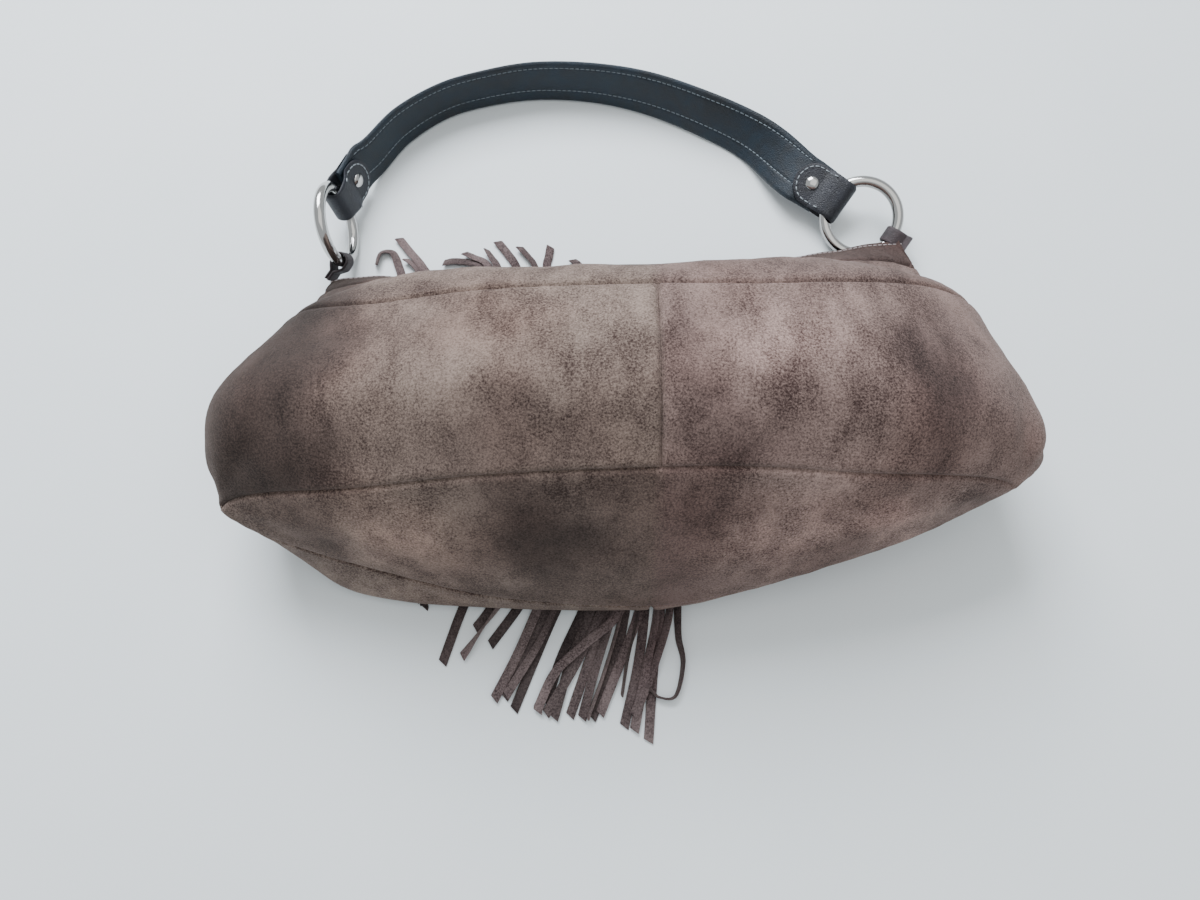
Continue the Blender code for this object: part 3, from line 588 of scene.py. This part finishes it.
# Saddle stitches: short waxed thread that dips into its holes, laid along each seam by a node tree.
stitch_tree = bpy.data.node_groups.new("stitch_row", "GeometryNodeTree")
for name, kind, default in (("Row", "NodeSocketGeometry", None), ("Pitch", "NodeSocketFloat", 0.0031),
                            ("Thread", "NodeSocketFloat", 0.00034), ("Length", "NodeSocketFloat", 0.0023),
                            ("Finish", "NodeSocketMaterial", None)):
    socket = stitch_tree.interface.new_socket(name, in_out="INPUT", socket_type=kind)
    if default is not None:
        socket.default_value = default
stitch_tree.interface.new_socket("Stitches", in_out="OUTPUT", socket_type="NodeSocketGeometry")
given = add(stitch_tree, "NodeGroupInput").outputs
spaced = add(stitch_tree, "GeometryNodeResampleCurve", {"Curve": given["Row"], "Length": given["Pitch"]},
             mode="LENGTH")
run = add(stitch_tree, "GeometryNodeInputTangent").outputs["Tangent"]
aim = add(stitch_tree, "FunctionNodeAlignRotationToVector", {"Vector": run}, axis="Z")
thread = add(stitch_tree, "GeometryNodeMeshCylinder", {"Vertices": 6, "Radius": given["Thread"],
                                                       "Depth": given["Length"]})
laid = add(stitch_tree, "GeometryNodeInstanceOnPoints", {"Points": spaced.outputs["Curve"],
                                                         "Instance": thread.outputs["Mesh"],
                                                         "Rotation": aim.outputs["Rotation"]})
real = add(stitch_tree, "GeometryNodeRealizeInstances", {"Geometry": laid.outputs["Instances"]})
dyed = add(stitch_tree, "GeometryNodeSetMaterial", {"Geometry": real.outputs["Geometry"],
                                                    "Material": given["Finish"]})
add(stitch_tree, "NodeGroupOutput", {"Stitches": dyed.outputs["Geometry"]})


def thread_finish(name, colour, light):
    """Waxed polyester thread, its ply shown as fine slanted ridges."""
    made, tree, shader = new_material(name, Roughness=0.6, Sheen_Weight=0.2)
    place = add(tree, "ShaderNodeTexCoord").outputs["Object"]
    ply = add(tree, "ShaderNodeTexNoise", {"Vector": place, "Scale": 1 / 0.0006}).outputs["Fac"]
    hue = add(tree, "ShaderNodeMix", {"Factor": ply, "A": linear(colour), "B": linear(light)}, data_type="RGBA")
    tree.links.new(hue.outputs["Result"], shader.inputs["Base Color"])
    return made


def sew(name, rows, finish, body, length=0.0023):
    """Stitches along rows of layout points, made a plain mesh that rides on a body."""
    curve = bpy.data.curves.new(name + "_row", "CURVE")
    curve.dimensions = "3D"
    for row in rows:
        spline = curve.splines.new("POLY")
        spline.points.add(len(row) - 1)
        for point, p in zip(spline.points, row):
            point.co = (*at(*p), 1.0)
    guide = bpy.data.objects.new(name + "_row", curve)
    bpy.context.scene.collection.objects.link(guide)
    made = guide.modifiers.new("stitches", "NODES")
    made.node_group = stitch_tree
    names = {item.name: item.identifier for item in stitch_tree.interface.items_tree}
    made[names["Pitch"]] = STITCH_PITCH * MM
    made[names["Length"]] = length
    made[names["Finish"]] = finish
    evaluated = guide.evaluated_get(bpy.context.evaluated_depsgraph_get())
    mesh = bpy.data.meshes.new_from_object(evaluated)
    mesh.name = name
    mesh.shade_smooth()
    bpy.data.objects.remove(guide, do_unlink=True)
    obj = bpy.data.objects.new(name, mesh)
    bpy.context.scene.collection.objects.link(obj)
    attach(obj, body)


PALE_THREAD = thread_finish("pale waxed thread", "#6E7880", "#A3ABB0")
# The pale thread again, painted darker: painted shade on the strap's face.
PALE_THREAD_IN_SHADE = thread_finish("pale waxed thread in painted shade", "#4A555E", "#7C868D")
DULL_THREAD = thread_finish("taupe waxed thread", "#7B7072", "#AFA4A2")
rows = []
shown = [k for k in range(len(places)) if 1.8 < places[k] < places[-1] - 1.8]
for line in STITCH_LINES:
    for face in (1, -1):
        row = []
        for k in shown:
            run = strap_line[min(k + 1, 259)] - strap_line[max(k - 1, 0)]
            up = strap_up[k] / np.linalg.norm(strap_up[k])
            through = np.cross(run, up)
            through /= np.linalg.norm(through)
            row.append(strap_line[k] + up * line + through * face * (STRAP_THICK / 2 - 0.2))
        rows.append(row)
# The strap's rows use the darker copy of the pale thread, painted shade.
sew("strap_stitches", rows, PALE_THREAD_IN_SHADE, "handle")

# ---------------------------------------------------------------------------------------------------------
# The strap's ends: separate leather tabs folded round each ring, stitched round their rounded upper leaf and
# held by one domed rivet.
METAL_COLOUR = "#B9B8B6"


def metal_finish(name, roughness):
    """Polished nickel plate: a warm grey mirror with faint rubbing marks."""
    made, tree, shader = new_material(name, Metallic=1.0)
    shader.inputs["Base Color"].default_value = linear(METAL_COLOUR)
    place = add(tree, "ShaderNodeTexCoord").outputs["Object"]
    rub = add(tree, "ShaderNodeTexNoise", {"Vector": place, "Scale": 1 / 0.004, "Detail": 5.0}).outputs["Fac"]
    dull = add(tree, "ShaderNodeMapRange", {"Value": rub, "To Min": roughness * 0.6, "To Max": roughness * 1.6})
    tree.links.new(dull.outputs["Result"], shader.inputs["Roughness"])
    bump = add(tree, "ShaderNodeBump", {"Height": rub, "Strength": 0.03, "Distance": 0.0002})
    tree.links.new(bump.outputs["Normal"], shader.inputs["Normal"])
    return made


NICKEL = metal_finish("polished nickel", 0.11)


def turned(name, profile, frame_at, finish, body, stands_for, steps=40):
    """A solid turned about the third axis of a frame from (radius, height) pairs."""
    origin, along, across, through = frame_at
    points, faces = [], []
    for r, z in profile:
        for k in range(steps):
            a = 2 * math.pi * k / steps
            points.append(origin + (along * math.cos(a) + across * math.sin(a)) * max(r, 1e-4) + through * z)
    for s in range(len(profile) - 1):
        for k in range(steps):
            b = (k + 1) % steps
            faces.append((s * steps + k, s * steps + b, (s + 1) * steps + b, (s + 1) * steps + k))
    return add_piece(name, points, faces, finish, body, stands_for, 35)


def folded_path(upper, lower, tall, low, pinch, sag, round_end):
    """The side view of a strip folded round a ring's wire, from its upper leaf's tip to its lower leaf's end."""
    path = [(upper - round_end * (1 - math.cos(a)), low) for a in np.linspace(0, math.pi / 2, 14)]
    path += [(x, low) for x in np.linspace(upper - round_end - 0.6, pinch + 1.0, 4)]
    path += [(pinch, low + 0.1), (pinch * 0.72, low + (tall - low) * 0.5), (pinch * 0.4, tall - 0.2), (0.5, tall)]
    path += [(-sag - tall * math.sin(a), tall * math.cos(a)) for a in np.linspace(0.0, math.pi, 25)]
    path += [(0.5, -tall), (pinch * 0.4, -tall + 0.2), (pinch * 0.72, -low - (tall - low) * 0.5)]
    path += [(pinch, -low - 0.1), (pinch + 1.5, -low), (lower, -low)]
    return path


for side, end, fold_half in (("left", LEFT_END, 10.0), ("right", RIGHT_END, 12.0)):
    origin, along, across, through = end
    if through.z < 0:
        across, through = -across, -through
    gap = STRAP_THICK / 2 + 0.3 + TAB_THICK / 2
    path = folded_path(24.5, 21.0, 4.6 + TAB_THICK / 2, gap, 9.0, 3.0, 11.5)
    centres, halves = [], []
    for k, (x, z) in enumerate(path):
        half = fold_half + (TAB_WIDTH / 2 - fold_half) * min(max((x + 3.0) / 12.0, 0.0), 1.0)
        if k < 14:
            half *= max(math.sin(math.acos(max(0.0, 1 - (24.5 - x) / 11.5))), 0.12)
        centres.append(np.array(origin + along * x + through * z))
        halves.append(half)
    ribbon(f"strap_tab_{side}", centres, [np.array(across)] * len(path), halves, TAB_THICK / 2, TAB_LEATHER,
           "handle", [f"strap_end_{side}"], (), 21)
    margin, top = 2.2, gap + TAB_THICK / 2 + 0.02
    row = [(x, -(TAB_WIDTH / 2 - margin)) for x in np.linspace(4.6, 13.0, 8)]
    row += [(13.0 + 9.3 * math.sin(a), -10.3 * math.cos(a)) for a in np.linspace(0.1, math.pi - 0.1, 24)]
    row += [(x, TAB_WIDTH / 2 - margin) for x in np.linspace(13.0, 4.6, 8)]
    lift = [top + max(0.0, (8.8 - x) / 4.4) ** 1.3 * 2.6 for x, y in row]
    seam = [origin + along * x + across * y + through * z for (x, y), z in zip(row, lift)]
    sew(f"tab_stitches_{side}", [seam], PALE_THREAD, "handle")
    rivet_at = (origin + along * RIVET_REACH, along, across, through)
    dome = [(0, top + 1.5), (0.9, top + 1.47), (1.8, top + 1.32), (2.7, top + 1.05), (3.4, top + 0.66),
            (3.85, top + 0.3), (3.95, top + 0.02), (3.8, top - 0.15), (1.3, top - 0.15), (1.3, -top),
            (3.4, -top), (3.4, -top - 0.5), (2.4, -top - 0.8), (0, -top - 0.9)]
    turned(f"domed_rivet_{side}", dome, rivet_at, NICKEL, "handle", [f"rivet_{side}"])

# ---------------------------------------------------------------------------------------------------------
# The rings: bent from 6.4 mm round bar, welded shut and polished, 48 mm across.
RINGS = {
    "left": (LEFT_RING, left_along, left_across, left_along.cross(left_across)),
    "right": (RIGHT_RING, RIGHT_END[1], RIGHT_RING_NORMAL.cross(RIGHT_END[1]), RIGHT_RING_NORMAL),
}
for side, (centre, along, across, normal) in RINGS.items():
    points, faces = [], []
    for i in range(144):
        a = 2 * math.pi * i / 144
        out = along * math.cos(a) + across * math.sin(a)
        for j in range(32):
            b = 2 * math.pi * j / 32
            points.append(centre + out * (RING_RADIUS + RING_WIRE * math.cos(b)) + normal * RING_WIRE * math.sin(b))
            k, m = (i + 1) % 144, (j + 1) % 32
            faces.append((i * 32 + j, k * 32 + j, k * 32 + m, i * 32 + m))
    add_piece(f"nickel_ring_{side}", points, faces, NICKEL, f"{side}_ring", [f"ring_{side}"])

# ---------------------------------------------------------------------------------------------------------
# The ring loops: a strip of the suede's dark grain side, folded round each ring and sewn into the mouth's corner.
LOOP_THICK = 1.4
LOOP_LEATHER = leather_finish("dark plum loop leather", "#4C4043", "#2B2427", 0.55)
for side, root, reach in (("left", LEFT_ROOT, 12.5), ("right", RIGHT_ROOT, 10.5)):
    centre, ring_along, ring_across, normal = RINGS[side]
    radial = root - centre
    radial = (radial - normal * radial.dot(normal)).normalized()
    contact = centre + radial * RING_RADIUS
    origin, along, across, through = frame_from(contact, root - contact, normal.cross(radial))
    path = folded_path(reach, reach, 3.5 + LOOP_THICK / 2, 0.15 + LOOP_THICK / 2, 7.0, 0.4, 0.0)[13:]
    path = path[:1] + path[4:]
    path = curve_through(path, np.linspace(0, len(path) - 1, 110))
    centres = [np.array(origin + along * x + through * z) for x, z in path]
    halves = [4.6 + 0.8 * min(max(x / 10.0, 0.0), 1.0) for x, z in path]
    loop = ribbon(f"ring_loop_{side}", centres, [np.array(across)] * len(path), halves, LOOP_THICK / 2,
                  LOOP_LEATHER, None, [f"ring_tab_{side}"], (), 15)
    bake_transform(loop)

# ---------------------------------------------------------------------------------------------------------
# The mouth's top stitching, one row of taupe waxed thread about 2 mm below the edge, and the two halves of
# the magnetic snap that closes it, pressed from steel and set through the lining.
TOP_STITCH_ROW = 8
rows = []
for side, grid in HEMS.items():
    normal = normals_of(grid) * (1.0 if side == "back" else -1.0)
    rows.append([grid[TOP_STITCH_ROW, c] + normal[TOP_STITCH_ROW, c] * 0.12 for c in range(2, grid.shape[1] - 2)])
sew("hem_stitches", rows, DULL_THREAD, "bag", 0.0021)

snap_finish = metal_finish("brushed snap plate", 0.3)
for node in ("snap_socket", "snap_stud"):
    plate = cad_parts[node]
    plate.data.materials.clear()
    plate.data.materials.append(snap_finish)

# ---------------------------------------------------------------------------------------------------------
# The fringe: tongues of the same suede, 4.9 mm wide, cut from pieces sewn to the hidden front panel. They
# spread over the table on both sides, some flat, some turned on edge or curled at the tip.
TONGUE_WIDTH = 4.9
TONGUE_THICK = 1.1
FRINGE_FINISH = suede_finish("cut suede fringe", "#7B6E6C", "#342A2B", "#F2E8EA")

# Each tongue: its points on the table as it leaves the bag, its roll in degrees at its start and end, its height off
# the table at its start and end, and how dark its upper face is, which holds its own tone and painted shade where it
# lies low between the raised tongues.
BASE_TONGUES = [
    ([(-88, -78), (-91, -86)], (0, 0), (0.7, 0.7), 0.45),
    ([(-58, -60), (-70, -84), (-80, -114)], (0, 0), (0.7, 0.7), 0.5),
    ([(-40, -60), (-50, -82), (-61, -98), (-70, -111)], (170, 20), (2.0, 1.4), 1.05),
    ([(-44, -62), (-55, -84), (-64, -97)], (0, 0), (0.7, 0.7), 0.62),
    ([(-27, -60), (-41, -84), (-56, -105)], (0, 0), (0.7, 0.7), 0.4),
    ([(-20, -58), (-31, -84), (-42, -110), (-53, -132)], (6, -8), (2.0, 2.2), 1.0),
    ([(-16, -58), (-27, -86), (-38, -110), (-48, -131)], (0, 0), (0.7, 0.7), 0.55),
    ([(-10, -58), (-22, -84), (-31, -104), (-47, -130)], (75, 15), (3.2, 2.4), 0.95),
    ([(-8, -58), (-22, -86), (-33, -112), (-43, -137)], (0, 0), (0.7, 0.7), 0.42),
    ([(4, -58), (-9, -88), (-20, -112), (-27, -134)], (0, 0), (0.7, 0.7), 0.4),
    ([(7, -58), (-5, -88), (-15, -114), (-23, -141)], (35, 5), (2.0, 1.6), 0.6),
    ([(10, -58), (0, -88), (-12, -114), (-27, -139)], (20, 0), (2.0, 2.0), 0.72),
    ([(12, -58), (3, -88), (-6, -114), (-15, -140)], (0, 0), (0.7, 0.7), 0.85),
    ([(14, -58), (7, -88), (-2, -116), (-9, -141)], (60, 10), (3.0, 1.6), 0.8),
    ([(15, -60), (11, -88), (3, -116), (-6, -141)], (80, 70), (2.6, 2.6), 0.9),
    ([(18, -56), (10, -88), (-8, -105), (-22, -118), (-30, -134), (-31, -138)], (8, 12), (4.2, 2.6), 1.12),
    ([(17, -58), (13, -88), (7, -114), (-4, -141)], (0, 0), (0.8, 0.8), 0.5),
    ([(26, -58), (20, -88), (11, -112), (0, -139)], (30, 0), (2.0, 1.9), 0.98),
    ([(22, -60), (19, -90), (14, -112), (11, -130)], (70, 80), (2.6, 2.6), 0.45),
    ([(24, -58), (23, -88), (19, -116), (12, -145)], (0, 0), (0.7, 0.7), 0.75),
    ([(28, -58), (29, -88), (23, -118), (17, -147)], (70, 8), (3.0, 2.0), 0.98),
    ([(30, -58), (31, -88), (27, -118), (24, -152)], (20, 0), (1.0, 0.9), 0.9),
    ([(33, -58), (36, -86), (27, -116), (17, -140)], (60, 10), (3.4, 3.0), 0.82),
    ([(40, -58), (40, -84), (40, -101), (42, -114), (38, -130), (30, -131), (25, -127)], (30, 100), (2.0, 3.0), 0.6),
]
MOUTH_TONGUES = [
    ([(-108, 92), (-116, 109), (-119, 117), (-122, 121), (-128, 120), (-130, 112)], (0, 60), (1.0, 2.8), 0.80),
    ([(-92, 92), (-103, 111), (-111, 121), (-118, 130)], (15, 10), (2.2, 1.8), 1.0),
    ([(-96, 92), (-106, 110), (-113, 116)], (30, 40), (1.2, 2.0), 0.85),
    ([(-96, 88), (-99, 104), (-104, 113)], (0, 20), (1.0, 1.4), 0.7),
    ([(-62, 100), (-70, 112), (-76, 114), (-85, 115), (-91, 114)], (10, 20), (2.6, 1.8), 0.62),
    ([(-58, 100), (-66, 113), (-73, 117), (-79, 120)], (20, 30), (2.8, 2.4), 0.95),
    ([(-54, 96), (-60, 112), (-63, 117), (-66, 122)], (10, 50), (1.6, 2.4), 0.85),
    ([(-42, 94), (-49, 112), (-54, 120), (-60, 128)], (0, 5), (2.0, 1.6), 0.98),
    ([(-32, 94), (-38, 112), (-42, 118), (-47, 124)], (40, 30), (2.2, 2.2), 0.72),
    ([(-30, 94), (-31, 112), (-30, 118), (-29, 125)], (0, 0), (1.0, 1.0), 0.92),
    ([(-4, 98), (-12, 112), (-16, 116)], (0, 20), (0.8, 1.2), 0.85),
]


def lay_tongue(name, route, rolls, heights, dark):
    """One tongue, from its sewn root under the bag to its slanted tip."""
    start = np.array(route[0], float)
    middle = np.array(FRINGE_CENTRE)
    root = middle + (start - middle) * 0.25
    plan = np.array([root, middle + (start - middle) * 0.6, *route], float)
    spots = np.linspace(0, len(plan) - 1, 64)
    line = curve_through(plan, spots)
    part = np.clip((spots - 2) / (len(plan) - 3), 0, 1)
    height = np.interp(part, [0, 1], heights)
    under = np.clip(2.3 - spots, 0, 1)
    roll = np.radians(np.interp(part, [0, 1], rolls)) * (1 - under)
    height = np.minimum(height, 3.0) * under + height * (1 - under)
    lift = np.abs(np.sin(roll)) * TONGUE_WIDTH / 2 + np.abs(np.cos(roll)) * TONGUE_THICK / 2
    height = np.maximum(height, lift + 0.08)
    centres = np.column_stack([line, height])
    run = np.gradient(line, axis=0)
    run /= np.linalg.norm(run, axis=1, keepdims=True)
    flat = np.column_stack([-run[:, 1], run[:, 0], np.zeros(len(run))])
    across = flat * np.cos(roll)[:, None] + np.array([0, 0, 1.0]) * np.sin(roll)[:, None]
    half = np.full(len(spots), TONGUE_WIDTH / 2)
    obj = ribbon(name, centres, across, half, TONGUE_THICK / 2, FRINGE_FINISH, None, (), (), 7)
    tip = Vector(centres[-1])
    lean = Vector(run[-1].tolist() + [0.0])
    for vertex in obj.data.vertices:
        here = vertex.co / MM + LAYOUT_ORIGIN
        if (here - tip).length < TONGUE_WIDTH * 0.75:
            side = (here - tip).dot(Vector(across[-1]))
            vertex.co += lean * side * 0.45 * MM
    # The tongue's darkness goes into the nap tint as its own tone together with painted shade.
    layer = obj.data.attributes.new("nap", "FLOAT_COLOR", "POINT")
    for k in range(len(obj.data.vertices)):
        layer.data[k].color = (dark, dark * 0.98, dark * 0.99, 1.0)
    return obj


def gather_tongues(name, tongues, nodes):
    """All tongues of one side as one piece that lies still with the bag."""
    laid_out = [lay_tongue(f"{name}_{k}", *tongue) for k, tongue in enumerate(tongues)]
    joined = bmesh.new()
    for obj in laid_out:
        joined.from_mesh(obj.data)
    mesh = bpy.data.meshes.new(name)
    joined.to_mesh(mesh)
    joined.free()
    mesh.materials.append(FRINGE_FINISH)
    mesh.shade_smooth()
    mesh.set_sharp_from_angle(angle=math.radians(60))
    for obj in laid_out:
        bpy.data.objects.remove(obj, do_unlink=True)
    piece = bpy.data.objects.new(name, mesh)
    bpy.context.scene.collection.objects.link(piece)
    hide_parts(*nodes)
    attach(piece, "bag")


gather_tongues("fringe_towards_base", BASE_TONGUES, ["fringe_base_side", "fringe_base_side_upper"])
gather_tongues("fringe_towards_mouth", MOUTH_TONGUES, ["fringe_mouth_side"])
